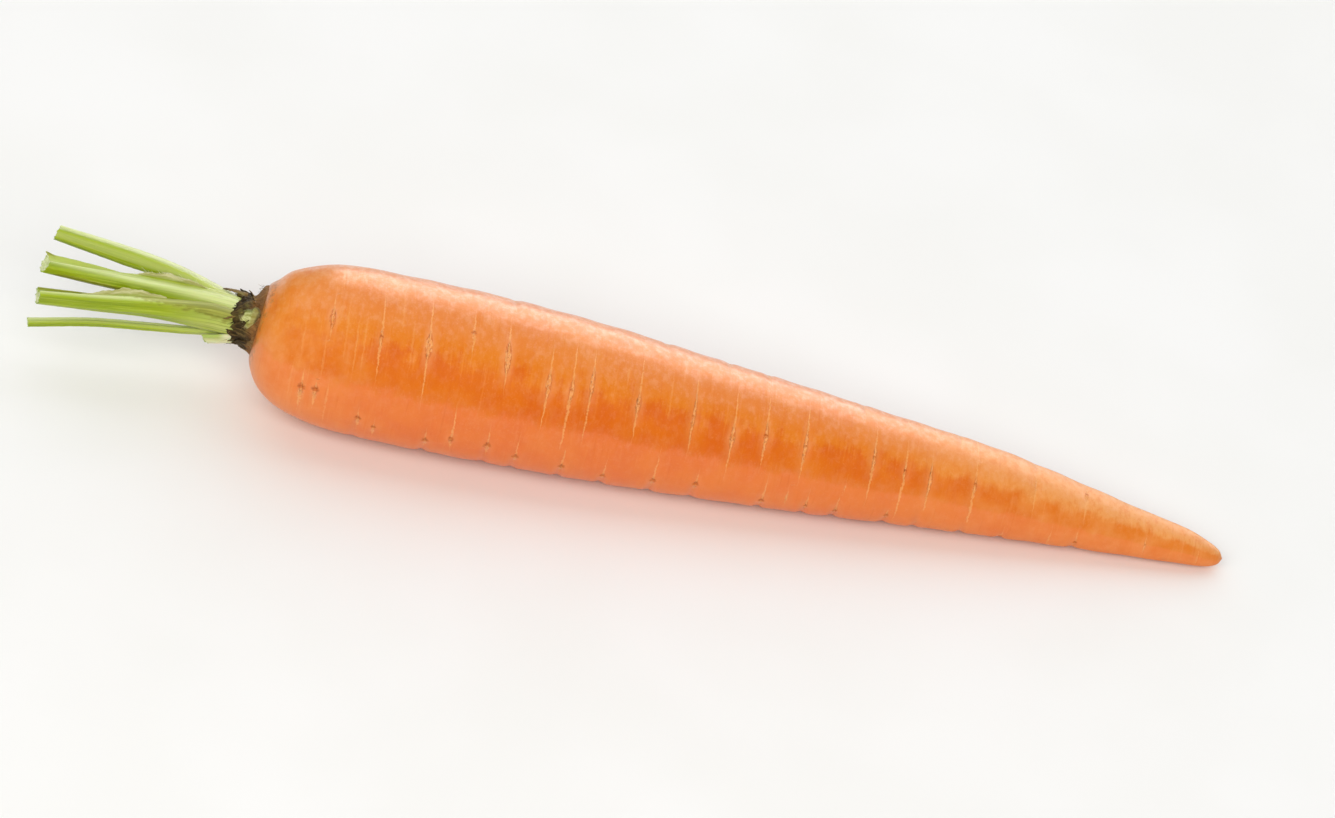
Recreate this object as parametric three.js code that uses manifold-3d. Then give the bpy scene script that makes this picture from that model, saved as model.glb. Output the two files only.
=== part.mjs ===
// A fresh carrot with its trimmed leaf stalks, lying on its side on a small flat spot.
// Millimetres, +Z up. The root runs along +X to its tip and the leaf stalks point to -X.
// "Place" is the distance along the root from its head, and "out" is the distance from the head
// towards the stalk ends. "Turn" is the angle round the root's own axis, in degrees: 0 is the -Y side,
// 90 is the top.

import * as THREE from "three";
import { mergeVertices } from "three/addons/utils/BufferGeometryUtils.js";
import Module from "manifold-3d";

// --- Driving dimensions ---------------------------------------------------------------------------

const ROOT_LENGTH = 190;
const HEAD_RADIUS = 6.4; // where the collar of old leaf bases sits
const SHOULDER_RADIUS = 15.8;
const SHOULDER_LENGTH = 20;
const GAP = 0.3; // kept between pieces that touch
const FLAT_DEPTH = 0.32; // how far the belly would sink below the surface it lies on

// The part's origin, measured from the head of the root: under the middle of the whole carrot.
const ORIGIN_PLACE = 73.7;
const ORIGIN_SIDE = 0.2;

// Radius of the root behind its shoulder, as [place, radius].
const RADII = [
  [SHOULDER_LENGTH, SHOULDER_RADIUS],
  [30, 15.9],
  [48, 15.6],
  [67, 14.75],
  [86, 13.35],
  [105, 11.9],
  [124, 10.15],
  [143, 8.4],
  [162, 6.0],
  [173, 4.55],
  [182, 3.45],
  [187, 2.35],
  [189.2, 1.3],
  [ROOT_LENGTH, 0],
];

// Height of the root's underside over the surface it lies on, as [place, height], behind the shoulder.
const UNDERSIDE = [
  [30, -FLAT_DEPTH],
  [104, -FLAT_DEPTH],
  [125, 0.1],
  [150, 0.5],
  [182, 0.5],
  [187, 0.6],
  [189.2, 1.3],
  [ROOT_LENGTH, 2.5],
];

// How far the root's middle wanders to +Y, as [place, offset].
const WANDER = [
  [0, 2.3],
  [2.5, 1.2],
  [6, 0.7],
  [14, 0.6],
  [28, 0.3],
  [67, -0.6],
  [105, -0.3],
  [134, 0.25],
  [163, 0.4],
  [ROOT_LENGTH, 0.3],
];

// Scars of fallen side roots, as [place, turn]. They stand in rows down the root.
const FRONT_SCARS = [
  [13.0, 59.5], [22.5, 52], [31.5, 53.5], [39.5, 68.5], [46.4, 57.5], [54.7, 44], [62.8, 52.5],
  [72.0, 45.5], [82.8, 46.5], [90.7, 37], [97.0, 44], [104.8, 43.5], [118.3, 48], [124.6, 41],
  [129.7, 37], [138.5, 44], [150.5, 66.5], [160.9, 84.5],
];
const LOW_SCARS = [
  [9.8, 1.5], [21.0, -12], [34.2, -22], [45.8, -13.5], [51.4, -20.5], [60.3, -22], [68.4, -25.5],
  [77.8, -20], [85.9, -15.5], [99.0, -24.5], [107.5, -22.5], [113.3, -25], [123.2, -21],
  [129.2, -20.5], [138.2, -32.5], [146.0, -37], [160.3, -20.5],
];
const TOP_SCARS = [
  [46.8, 119.5], [76.6, 128], [89.0, 127.5], [96.8, 126], [115.8, 115.5], [135.2, 110], [150.8, 108.5],
];
const FAR_FRONT_TURN = 126; // from a scar of the front row to its like on the hidden side
const FAR_LOW_TURN = -118;
const CREASE_DEPTHS = [0.2, 0.42, 0.26]; // over the front, low and top scars
const SCAR_WIDTH = 0.85;
const SCAR_SPAN = 34; // half the turn that a crease covers
const RING_HEIGHT = 0.06;
const RING_PITCH = 9.6;

const wasm = await Module();
wasm.setup();

// --- Small helpers --------------------------------------------------------------------------------

const radians = THREE.MathUtils.degToRad;
const clamp = THREE.MathUtils.clamp;

// A smooth line through [place, value] pairs, read at any place.
function along(pairs, place) {
  const last = pairs.length - 1;
  if (place <= pairs[0][0]) return pairs[0][1];
  if (place >= pairs[last][0]) return pairs[last][1];
  const i = pairs.findIndex(([p]) => p > place) - 1;
  const slope = (k) => {
    const [before, after] = [pairs[Math.max(k - 1, 0)], pairs[Math.min(k + 1, last)]];
    return (after[1] - before[1]) / (after[0] - before[0]);
  };
  const [p0, v0] = pairs[i];
  const [p1, v1] = pairs[i + 1];
  const step = p1 - p0;
  const t = (place - p0) / step;
  const rise = (1 + 2 * t) * (1 - t) ** 2 * v0 + t * t * (3 - 2 * t) * v1;
  return rise + step * (t * (1 - t) ** 2 * slope(i) - t * t * (1 - t) * slope(i + 1));
}

// The smaller angle between two turns, in degrees.
function turnBetween(a, b) {
  return Math.abs(((a - b + 540) % 360) - 180);
}

// A geometry as a closed solid: its doubled vertices merged, its collapsed triangles dropped.
function solidOf(geometry) {
  const bare = new THREE.BufferGeometry();
  bare.setAttribute("position", geometry.getAttribute("position"));
  bare.setIndex(geometry.getIndex());
  const merged = mergeVertices(bare, 1e-3);
  const corners = merged.index.array;
  const kept = [];
  for (let i = 0; i < corners.length; i += 3) {
    const [a, b, c] = corners.slice(i, i + 3);
    if (a !== b && b !== c && c !== a) kept.push(a, b, c);
  }
  return new wasm.Manifold(
    new wasm.Mesh({
      numProp: 3,
      vertProperties: new Float32Array(merged.attributes.position.array),
      triVerts: new Uint32Array(kept),
    }),
  );
}

// The largest body of a solid as a named mesh, without the scraps that a cut may leave.
function meshOf(solid, name, material) {
  const [body] = solid.decompose().sort((a, b) => b.volume() - a.volume());
  const { vertProperties, triVerts } = body.getMesh();
  const geometry = new THREE.BufferGeometry();
  geometry.setAttribute("position", new THREE.BufferAttribute(vertProperties, 3));
  geometry.setIndex(new THREE.BufferAttribute(triVerts, 1));
  geometry.computeVertexNormals();
  const mesh = new THREE.Mesh(geometry, material);
  mesh.name = name;
  return mesh;
}

// Moves every vertex of a geometry by a rule that gets its old position and writes the new one.
function reshape(geometry, rule) {
  const position = geometry.getAttribute("position");
  const point = new THREE.Vector3();
  for (let i = 0; i < position.count; i++) {
    rule(point.fromBufferAttribute(position, i));
    position.setXYZ(i, point.x, point.y, point.z);
  }
  return geometry;
}

// --- Root -----------------------------------------------------------------------------------------

// Radius of the plain root: a quarter ellipse over the shoulder, then the taper.
function rootRadius(place) {
  if (place >= SHOULDER_LENGTH) return along(RADII, place);
  const back = 1 - place / SHOULDER_LENGTH;
  return HEAD_RADIUS + (SHOULDER_RADIUS - HEAD_RADIUS) * Math.sqrt(1 - back * back);
}

const BELLY_PLACE = 30; // where the underside first meets the surface
const HEAD_LIFT = [
  [0, 2.1],
  [2.5, 1.3],
  [6, 0.8],
  [14, 0.5],
  [BELLY_PLACE, 0],
];

// Height of the root's middle: lifted a little to the head, and behind the belly place as high as its
// underside and its radius say.
function rootHeight(place) {
  if (place >= BELLY_PLACE) return rootRadius(place) + along(UNDERSIDE, place);
  return rootRadius(BELLY_PLACE) - FLAT_DEPTH + along(HEAD_LIFT, place);
}

const farFront = (turn, i) => turn + FAR_FRONT_TURN + 9 * Math.sin(2.4 * i);
const farLow = (turn, i) => turn + FAR_LOW_TURN + 8 * Math.sin(1.7 * i);
const [FRONT_DEPTH, LOW_DEPTH, TOP_DEPTH] = CREASE_DEPTHS;

// Every crease, as [place, turn, depth].
const creases = [
  ...FRONT_SCARS.map(([place, turn]) => [place, turn, FRONT_DEPTH]),
  ...LOW_SCARS.map(([place, turn]) => [place, turn, LOW_DEPTH]),
  ...TOP_SCARS.map(([place, turn]) => [place, turn, TOP_DEPTH]),
  ...FRONT_SCARS.map(([place, turn], i) => [place, farFront(turn, i), FRONT_DEPTH]),
  ...LOW_SCARS.map(([place, turn], i) => [place, farLow(turn, i), LOW_DEPTH]),
];

// Height of the skin over the plain root: low rings that fade out to both ends, a shoulder that falls
// away to the head on its upper +Y side, and a short crease across each scar.
const FALL_DEPTH = 1.1;
const FALL_TURN = 130;
const FALL_PLACE = 1.2;
const FALL_WIDTH = 1.7;

function rootRelief(place, turn) {
  const fade = clamp(place / 30, 0, 1) * clamp((ROOT_LENGTH - place) / 25, 0, 1);
  const ring = (2 * Math.PI * place) / RING_PITCH + 0.6 * Math.sin(radians(turn));
  const fall = Math.exp(-(((place - FALL_PLACE) / FALL_WIDTH) ** 2));
  let relief = RING_HEIGHT * fade * Math.sin(ring);
  relief -= FALL_DEPTH * fall * Math.max(Math.cos(radians(turn - FALL_TURN)), 0);
  for (const [creasePlace, creaseTurn, depth] of creases) {
    const across = (place - creasePlace) / SCAR_WIDTH;
    const round = turnBetween(turn, creaseTurn) / SCAR_SPAN;
    if (Math.abs(across) > 3 || round >= 1) continue;
    const here = Math.exp(-across * across) * Math.cos((round * Math.PI) / 2) ** 2;
    relief -= ((depth * (1 + fade)) / 2) * here;
  }
  return relief;
}

// The stations of the root's rings: close over the shoulder and the tip, and three to each crease.
function rootStations() {
  const shoulder = [0, 0.5, 1.3, 2.6, 4.4, 6.8, 9.6];
  const tip = [172, 176.5, 180, 183, 185.5, 187.4, 188.8, 189.6];
  const near = [...FRONT_SCARS, ...LOW_SCARS, ...TOP_SCARS].flatMap(([place]) => [
    place - SCAR_WIDTH,
    place,
    place + SCAR_WIDTH,
  ]);
  const all = [...shoulder, ...near, ...tip].sort((a, b) => a - b);
  const spaced = all.filter((place, i) => i === 0 || place - all[i - 1] > 0.45);
  return [...spaced, ROOT_LENGTH];
}

const ROOT_SIDES = 36;
const DISH_DEPTH = 0.9; // of the shallow dish that the collar sits in
const DISH_RADIUS = 5.8;
const HEAD_LEAN = 0.1; // slope of the head's face, whose upper +Y side lies further back
const LEAN_TURN = 130;

function rootGeometry() {
  const profile = [new THREE.Vector2(0, DISH_DEPTH), new THREE.Vector2(DISH_RADIUS, DISH_DEPTH)];
  for (const place of rootStations()) {
    profile.push(new THREE.Vector2(rootRadius(place), place));
  }
  const blank = new THREE.LatheGeometry(profile, ROOT_SIDES);
  return reshape(blank, (p) => {
    const place = p.y;
    const plain = Math.hypot(p.x, p.z);
    const angle = Math.atan2(p.x, -p.z);
    const turn = THREE.MathUtils.radToDeg(angle);
    const inDish = place <= DISH_DEPTH && plain <= (DISH_RADIUS + HEAD_RADIUS) / 2;
    const radius = plain + (inDish ? 0 : rootRelief(place, turn));
    const aside = -radius * Math.cos(angle);
    const above = radius * Math.sin(angle);
    const nearHead = clamp(1 - place / SHOULDER_LENGTH, 0, 1);
    const lean = HEAD_LEAN * radius * Math.cos(angle - radians(LEAN_TURN)) * nearHead ** 2;
    const z = rootHeight(place) + above;
    p.set(place + lean, along(WANDER, place) + aside, Math.max(z, 0));
  });
}

// --- Head frame -----------------------------------------------------------------------------------

// The collar and the stalks are laid out in the head's own frame: +X runs out along the stalks, +Y to
// the side that turn 0 faces, +Z up. It is turned half round and lifted by the root's taper.
const HEAD_TILT = 4.2;
const headFrame = new THREE.Matrix4()
  .makeTranslation(0, WANDER[0][1], rootHeight(0))
  .multiply(new THREE.Matrix4().makeRotationZ(Math.PI))
  .multiply(new THREE.Matrix4().makeRotationY(-radians(HEAD_TILT)));

// --- Crown ----------------------------------------------------------------------------------------

const CROWN_SIDES = 40;

// Outline of the collar, as [radius, out]: up the outside, over the ragged rim, down into the heart.
const CROWN_OUTLINE = [
  [0, -3.0],
  [5.2, -3.0],
  [6.5, -1.0],
  [6.55, 0.2],
  [5.85, 0.9],
  [5.2, 1.9],
  [4.8, 3.0],
  [4.75, 4.1],
  [4.95, 5.0],
  [4.3, 5.0],
  [3.4, 3.4],
  [0, 3.0],
];
const CROWN_LEAN = 0.14; // how far the collar leans down for each millimetre out
const HEART_RADIUS = 3; // inside this the collar is the hollow that the stalks grow from
const SCALES = 7; // old leaf bases round the collar
const SCALE_RISE = 1.5;
const RIM_WAVE = 0.5;
const SEAM_DEPTH = 0.3;
const WAIST_DEPTH = 1.5; // of the hollow between the collar and the shoulder, on the upper +Y side
const WAIST_OUT = 1.5;
const WAIST_WIDTH = 1.1;
const WAIST_TURN = 130;

// How much higher than the plain rim the collar stands at a turn: pointed scales of uneven height.
function rimRise(turn) {
  const point = 1 - 2 * Math.abs((((turn / 360) * SCALES + 10.3) % 1) - 0.5);
  return SCALE_RISE * (point - 0.6) + RIM_WAVE * Math.sin(radians(2 * turn + 40));
}

function crownGeometry() {
  const outline = CROWN_OUTLINE.map(([radius, out]) => new THREE.Vector2(radius, out));
  const blank = new THREE.LatheGeometry(outline, CROWN_SIDES);
  return reshape(blank, (p) => {
    const plain = Math.hypot(p.x, p.z);
    const angle = Math.atan2(p.x, p.z);
    const turn = THREE.MathUtils.radToDeg(angle);
    const outside = plain > HEART_RADIUS ? 1 : 0;
    const out = p.y + outside * clamp((p.y - 1.5) / 3.5, 0, 1) * rimRise(turn);
    const seams = Math.abs(Math.cos(radians((turn * SCALES) / 2 + 54))) - 0.5;
    const side = Math.max(Math.cos(angle - radians(WAIST_TURN)), 0);
    const waist = WAIST_DEPTH * side * Math.exp(-(((p.y - WAIST_OUT) / WAIST_WIDTH) ** 2));
    const radius = plain + outside * (clamp(p.y / 2, 0, 1) * SEAM_DEPTH * seams - waist);
    p.set(out, radius * Math.cos(angle), radius * Math.sin(angle) - CROWN_LEAN * out);
  });
}

// --- Leaf stalks ----------------------------------------------------------------------------------

// Each stalk is a middle line, with its facing (the turn that its rounded back looks to), its width
// across and its thickness, from the sheath in the collar to the cut end, as [out, value] pairs. So is
// opening, the turn from the back to the channel. bend is how strongly the sheath wraps the others,
// channel the depth of the channel, and slant how far the cut end leans.
const STALKS = [
  {
    name: "stalk_3",
    line: [[0.6, 3.5, 0.7], [5.2, 3.8, 0.7], [10, 3.8, 0.8], [20.8, 4.4, 0.6], [31.5, 5.4, -0.3],
      [41.5, 6.2, -1.2]],
    facing: [[0, 8], [12, 2], [42, -22]],
    opening: [[0, 180], [14, 170], [30, 134], [42, 126]],
    width: [[0, 4.6], [5, 5.8], [10, 6.2], [18, 5.0], [28, 4.3], [42, 4.1]],
    thickness: [[0, 1.6], [6, 1.9], [14, 2.6], [25, 3.2], [42, 3.2]],
    bend: 0.1,
    channel: 1.1,
    slant: -0.1,
  },
  {
    name: "stalk_2",
    line: [[0.6, 1.4, 2.4], [5.2, 1.2, 3.0], [10, 1.3, 3.3], [20, 1.7, 3.3], [31, 1.8, 3.2],
      [41.4, 1.8, 3.15]],
    facing: [[0, 78], [12, 66], [42, 14]],
    opening: [[0, 180], [14, 150], [24, 104], [32, 78], [42, 70]],
    width: [[0, 4.0], [5, 4.6], [12, 4.6], [24, 4.0], [42, 3.9]],
    thickness: [[0, 1.6], [6, 2.2], [14, 2.8], [25, 3.0], [42, 3.0]],
    bend: 0.09,
    channel: 1.2,
    slant: -0.3,
  },
  {
    name: "stalk_1",
    line: [[0.6, -1.5, 1.0], [5, -1.9, 1.6], [10, -2.7, 2.3], [17, -3.8, 3.1], [28, -5.0, 3.7],
      [40.3, -6.2, 4.3]],
    facing: [[0, 138], [12, 134], [42, 120]],
    opening: [[0, 180], [42, 148]],
    width: [[0, 5.0], [5, 5.6], [12, 5.2], [22, 4.2], [42, 3.1]],
    thickness: [[0, 1.7], [6, 2.2], [14, 3.2], [24, 3.8], [33, 3.4], [42, 2.8]],
    bend: 0.1,
    channel: 0.7,
    slant: -0.1,
  },
  {
    name: "stalk_4",
    line: [[0.6, 1.2, -2.6], [4.5, 1.4, -3.1], [11, 2.2, -4.1], [20, 2.9, -5.3], [30, 3.5, -6.8],
      [41.9, 5.1, -9.1]],
    facing: [[0, -60], [12, -50], [42, -38]],
    opening: [[0, 180], [20, 140], [42, 124]],
    width: [[0, 2.6], [6, 2.8], [14, 2.1], [42, 1.9]],
    thickness: [[0, 1.3], [8, 1.5], [42, 1.7]],
    bend: 0.06,
    channel: 0.4,
    slant: 0,
  },
  {
    name: "stalk_5",
    line: [[0.6, -2.7, -2.0], [4.7, -3.0, -2.4], [9.0, -3.3, -2.3], [15.0, -3.6, -1.7],
      [24.0, -3.6, -1.6], [33.0, -3.7, -1.9], [40.6, -4.1, -2.2]],
    facing: [[0, 222], [42, 215]],
    opening: [[0, 180], [42, 180]],
    width: [[0, 5.6], [6, 6.2], [14, 4.4], [26, 3.0], [42, 2.7]],
    thickness: [[0, 1.7], [6, 2.0], [18, 2.6], [42, 2.5]],
    bend: 0.1,
    channel: 0.7,
    slant: 0.2,
  },
];

const SHEATH_STUB = {
  name: "sheath_stub",
  line: [[0.9, 2.8, -2.9], [4.0, 3.4, -3.4], [6.8, 3.8, -3.95], [8.9, 4.15, -4.2]],
  facing: [[0, -36], [4, -34], [10, -26]],
  opening: [[0, 180], [10, 180]],
  width: [[0, 4.2], [4, 4.6], [7, 4.4], [10, 3.4]],
  thickness: [[0, 0.9], [10, 0.75]],
  bend: 0.09,
  channel: 0,
  slant: 0.5,
};

const STALK_SIDES = 18;
const STALK_STEPS = 13;
const RIBS = 6; // low ridges along a stalk's rounded back
const RIB_HEIGHT = 0.08;
const GROOVE_WIDTH = 0.45; // of the channel, as a share of half the stalk's width
const SHEATH_END = 26; // how far out the sheath still wraps the others

// A stalk, or the same stalk swollen by a margin to cut its neighbours clear of it.
function stalkGeometry(stalk, margin = 0) {
  const route = new THREE.CatmullRomCurve3(stalk.line.map((point) => new THREE.Vector3(...point)));
  const blank = new THREE.CylinderGeometry(1, 1, 1, STALK_SIDES, STALK_STEPS);
  const across = new THREE.Vector3();
  const back = new THREE.Vector3();
  return reshape(blank, (p) => {
    const share = p.y + 0.5;
    const middle = route.getPointAt(share);
    const heading = route.getTangentAt(share);
    const turn = radians(along(stalk.facing, middle.x));
    back.set(0, Math.cos(turn), Math.sin(turn));
    back.addScaledVector(heading, -back.dot(heading)).normalize();
    across.crossVectors(heading, back);
    const halfWidth = along(stalk.width, middle.x) / 2 + margin;
    const halfThickness = along(stalk.thickness, middle.x) / 2 + margin;
    const sideways = p.x * halfWidth;
    const ribs = RIB_HEIGHT * Math.cos(RIBS * Math.asin(clamp(p.x, -1, 1)));
    const opening = radians(along(stalk.opening, middle.x));
    const inward = p.x * Math.sin(opening) + p.z * Math.cos(opening);
    const aside = p.x * Math.cos(opening) - p.z * Math.sin(opening);
    const groove = stalk.channel * Math.exp(-((aside / GROOVE_WIDTH) ** 2)) * clamp(inward, 0, 1);
    const sheath = stalk.bend * sideways * sideways * clamp(1 - middle.x / SHEATH_END, 0, 1);
    const depth = p.z * halfThickness + (p.z > 0.1 ? ribs * p.z : 0) - sheath;
    const lastEighth = clamp(share * 8 - 7, 0, 1);
    const lean = stalk.slant * (sideways + p.z * halfThickness) * lastEighth;
    const longer = share === 0 ? -margin : share === 1 ? margin : 0;
    p.copy(middle)
      .addScaledVector(across, sideways - groove * Math.sin(opening))
      .addScaledVector(back, depth - groove * Math.cos(opening))
      .addScaledVector(heading, lean + longer);
  });
}

// --- Assembly -------------------------------------------------------------------------------------

const skin = new THREE.MeshStandardMaterial({ color: 0xe87a1d, roughness: 0.42, metalness: 0 });
const husk = new THREE.MeshStandardMaterial({ color: 0x4a3a1c, roughness: 0.9, metalness: 0 });
const green = new THREE.MeshStandardMaterial({ color: 0xa4c43a, roughness: 0.5, metalness: 0 });
const pale = new THREE.MeshStandardMaterial({ color: 0xd3dc92, roughness: 0.55, metalness: 0 });

const part = new THREE.Group();
part.position.set(-ORIGIN_PLACE, -ORIGIN_SIDE, 0);

const root = solidOf(rootGeometry());
part.add(meshOf(root, "root", skin));

// Each stalk is cut clear of those before it, and the collar of all of them and of the root.
const stalks = [...STALKS, SHEATH_STUB];
let taken = null;
for (const stalk of stalks) {
  const whole = solidOf(stalkGeometry(stalk).applyMatrix4(headFrame));
  const swollen = solidOf(stalkGeometry(stalk, GAP).applyMatrix4(headFrame));
  const clear = taken ? whole.subtract(taken) : whole;
  part.add(meshOf(clear, stalk.name, stalk === SHEATH_STUB ? pale : green));
  taken = taken ? taken.add(swollen) : swollen;
}
let collar = solidOf(crownGeometry().applyMatrix4(headFrame)).subtract(taken);
for (const [x, y, z] of [[-1, 0, 0], [0, 1, 0], [0, -1, 0], [0, 0, 1], [0, 0, -1]]) {
  collar = collar.subtract(solidOf(rootGeometry().translate(x * GAP, y * GAP, z * GAP)));
}
part.add(meshOf(collar, "crown", husk));

export default part;
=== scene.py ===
import math

import bmesh
import bpy
import numpy as np
from mathutils import Matrix, Vector, noise


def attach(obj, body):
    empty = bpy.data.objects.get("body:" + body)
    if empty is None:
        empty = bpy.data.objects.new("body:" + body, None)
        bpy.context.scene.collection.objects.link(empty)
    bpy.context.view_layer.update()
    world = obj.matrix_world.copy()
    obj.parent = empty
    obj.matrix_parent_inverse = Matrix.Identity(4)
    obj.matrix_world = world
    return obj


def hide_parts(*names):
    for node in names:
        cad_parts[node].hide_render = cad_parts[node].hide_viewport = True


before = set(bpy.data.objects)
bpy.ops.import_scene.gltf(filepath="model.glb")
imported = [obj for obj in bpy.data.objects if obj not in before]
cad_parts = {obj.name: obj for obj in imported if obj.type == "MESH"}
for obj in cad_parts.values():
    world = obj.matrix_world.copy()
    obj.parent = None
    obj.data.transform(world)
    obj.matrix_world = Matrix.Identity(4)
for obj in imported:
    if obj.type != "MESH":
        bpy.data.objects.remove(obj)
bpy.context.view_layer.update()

scene = bpy.context.scene


# --- Studio ---------------------------------------------
# A pale seamless floor, a long soft box behind that only glints, one above, and one on either side
# that lights without a glint. The camera looks down on the carrot's side, tilted to slope the root.

MM = 0.001
AZIMUTH, ELEVATION, ROLL = math.radians(-7), math.radians(40), math.radians(14.5306)
DISTANCE = 1.2
FOCAL_LENGTH = 170.319
TARGET = Vector((0.005682, 0.004390, 0.011663))

out_of_view = Vector((math.sin(AZIMUTH) * math.cos(ELEVATION),
                      -math.cos(AZIMUTH) * math.cos(ELEVATION), math.sin(ELEVATION)))
level = Vector((math.cos(AZIMUTH), math.sin(AZIMUTH), 0))
upright = out_of_view.cross(level)
across_view = math.cos(ROLL) * level + math.sin(ROLL) * upright
up_view = math.cos(ROLL) * upright - math.sin(ROLL) * level

lens = bpy.data.cameras.new("camera")
lens.lens = FOCAL_LENGTH
lens.sensor_width = 36
camera = bpy.data.objects.new("camera", lens)
camera.matrix_world = Matrix.Translation(TARGET + DISTANCE * out_of_view) @ Matrix(
    (across_view, up_view, out_of_view)).transposed().to_4x4()
scene.collection.objects.link(camera)
scene.camera = camera


def colour(code):
    """A #rrggbb colour as the linear light that Blender's sockets take."""
    parts = [int(code[i:i + 2], 16) / 255 for i in (1, 3, 5)]
    return (*[c / 12.92 if c <= 0.04045 else ((c + 0.055) / 1.055) ** 2.4 for c in parts], 1)


def soft_box(name, place, aim, width, height, power, tint, glint=True, spread=True):
    """A rectangular light: glint is whether gloss reflects it, spread whether it lights matt skin."""
    light = bpy.data.lights.new(name, "AREA")
    light.shape = "RECTANGLE"
    light.size, light.size_y = width, height
    light.energy = power
    light.color = colour(tint)[:3]
    lamp = bpy.data.objects.new(name, light)
    way = Vector(aim) - Vector(place)
    lamp.matrix_world = Matrix.Translation(place) @ way.to_track_quat("-Z", "Y").to_matrix().to_4x4()
    lamp.visible_glossy, lamp.visible_diffuse = glint, spread
    scene.collection.objects.link(lamp)


soft_box("box_behind", (0.27, 0.60, 0.31), (0, 0, 0.02), 0.95, 0.60, 7.0, "#fffaf2", spread=False)
soft_box("box_above", (0.10, 0.45, 0.95), (0.10, 0.45, 0), 2.2, 1.1, 6.3, "#f4faff")
soft_box("box_front", (-0.20, -0.80, 0.80), (0, 0, 0.01), 1.7, 0.6, 11.0, "#fffdf8", glint=False)
soft_box("box_far", (0.0, 1.00, 0.55), (0, 0, 0.01), 1.7, 0.6, 2.6, "#fffdf8", glint=False)

scene.world = bpy.data.worlds.new("room")
scene.world.use_nodes = True
air = scene.world.node_tree.nodes["Background"].inputs
air["Color"].default_value, air["Strength"].default_value = (1, 1, 1, 1), 0.24
scene.view_settings.view_transform = "Standard"


class Wire:
    """One value in a material. The ordinary operators add the Math node that they need."""

    def __init__(self, finish, socket):
        self.finish, self.socket = finish, socket

    def math(self, operation, *others):
        return self.finish.node("ShaderNodeMath", {"operation": operation}, enumerate((self, *others)))

    def __add__(self, other):
        return self.math("ADD", other)

    __radd__ = __add__

    def __sub__(self, other):
        return self.math("SUBTRACT", other)

    def __rsub__(self, other):
        return self.math("MULTIPLY_ADD", -1.0, other)

    def __mul__(self, other):
        return self.math("MULTIPLY", other)

    __rmul__ = __mul__

    def __truediv__(self, other):
        return self.math("DIVIDE", other)

    def __pow__(self, other):
        return self.math("POWER", other)

    def __abs__(self):
        return self.math("ABSOLUTE")

    def least(self, other):
        return self.math("MINIMUM", other)

    def most(self, other):
        return self.math("MAXIMUM", other)

    def between(self, low, high):
        """0 where this is low, 1 where it is high, smooth between."""
        return self.finish.node("ShaderNodeMapRange", {"interpolation_type": "SMOOTHSTEP"},
                                {"Value": self, "From Min": low, "From Max": high})

    def paint(self, under, over):
        """The colour under where this is 0, over where it is 1: each a #rrggbb code or a wire."""
        under, over = (colour(c) if isinstance(c, str) else c for c in (under, over))
        return self.finish.node("ShaderNodeMix", {"data_type": "RGBA"}, {0: self, 6: under, 7: over}, 2)

    def axes(self):
        """The three numbers of a vector."""
        split = self.finish.node("ShaderNodeSeparateXYZ", inputs={0: self}).socket.node
        return [Wire(self.finish, number) for number in split.outputs]

    def stretched(self, x, y, z):
        """This vector with each axis multiplied."""
        return self.finish.node("ShaderNodeVectorMath", {"operation": "MULTIPLY"},
                                {0: self, 1: (x, y, z)})

    def cloud(self, scale, detail=3.0, rough=0.5):
        """Soft noise over this vector, from 0 to 1."""
        return self.finish.node("ShaderNodeTexNoise", inputs={
            "Vector": self, "Scale": scale, "Detail": detail, "Roughness": rough})


class Finish:
    """A material under way: its shader, its base colour so far, and the place in millimetres."""

    def __init__(self, name, **constants):
        self.material = bpy.data.materials.new(name)
        self.material.use_nodes = True
        self.shader = self.material.node_tree.nodes["Principled BSDF"]
        for key, value in constants.items():
            self.shader.inputs[key.replace("_", " ")].default_value = value
        self.place = self.node("ShaderNodeTexCoord", output="Object").stretched(1 / MM, 1 / MM, 1 / MM)
        self.base = None

    def node(self, kind, settings=(), inputs=(), output=0):
        """The wire from one output of a new node: its settings are set first, then its inputs."""
        made = self.material.node_tree.nodes.new(kind)
        for key, value in dict(settings).items():
            setattr(made, key, value)
        for key, value in dict(inputs).items():
            if isinstance(value, Wire):
                self.material.node_tree.links.new(value.socket, made.inputs[key])
            else:
                made.inputs[key].default_value = value
        return Wire(self, made.outputs[output])

    def attribute(self, name):
        """The vector that a mesh attribute gives each point."""
        return self.node("ShaderNodeAttribute", {"attribute_name": name}, output="Vector")

    def lay(self, mask, over):
        """Lays a colour over the base, as strongly as the mask says. The last one is what shows."""
        self.base = mask.paint(self.base, over)
        self.feed("Base Color", self.base)

    def feed(self, key, wire):
        self.material.node_tree.links.new(wire.socket, self.shader.inputs[key])

    def bump(self, height):
        """Relief from a height in millimetres."""
        self.feed("Normal", self.node("ShaderNodeBump", inputs={
            "Height": height, "Strength": 1.0, "Distance": MM}))


paper = Finish("pale_floor", Roughness=0.9)
grey = paper.place.cloud(0.02, 2.0).between(0.3, 0.7)
paper.feed("Base Color", grey.paint("#f7f6f4", "#faf9f8"))

FLOOR_SIZE, FLOOR_DROP = 3.0, 0.02 * MM
shape = bmesh.new()
bmesh.ops.create_grid(shape, x_segments=2, y_segments=2, size=FLOOR_SIZE)
bmesh.ops.translate(shape, verts=shape.verts, vec=(0, 0, -FLOOR_DROP))
floor_mesh = bpy.data.meshes.new("floor")
shape.to_mesh(floor_mesh)
shape.free()
floor_mesh.materials.append(paper.material)
floor = bpy.data.objects.new("floor", floor_mesh)
scene.collection.objects.link(floor)


# --- Root -----------------------------------------------
# The carrot's taproot: one solid, smooth, waxy orange body, thickest behind its shoulder and drawn out
# to a blunt tip. Fallen side roots have left it rows of corky slits and small brown nubs.

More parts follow.
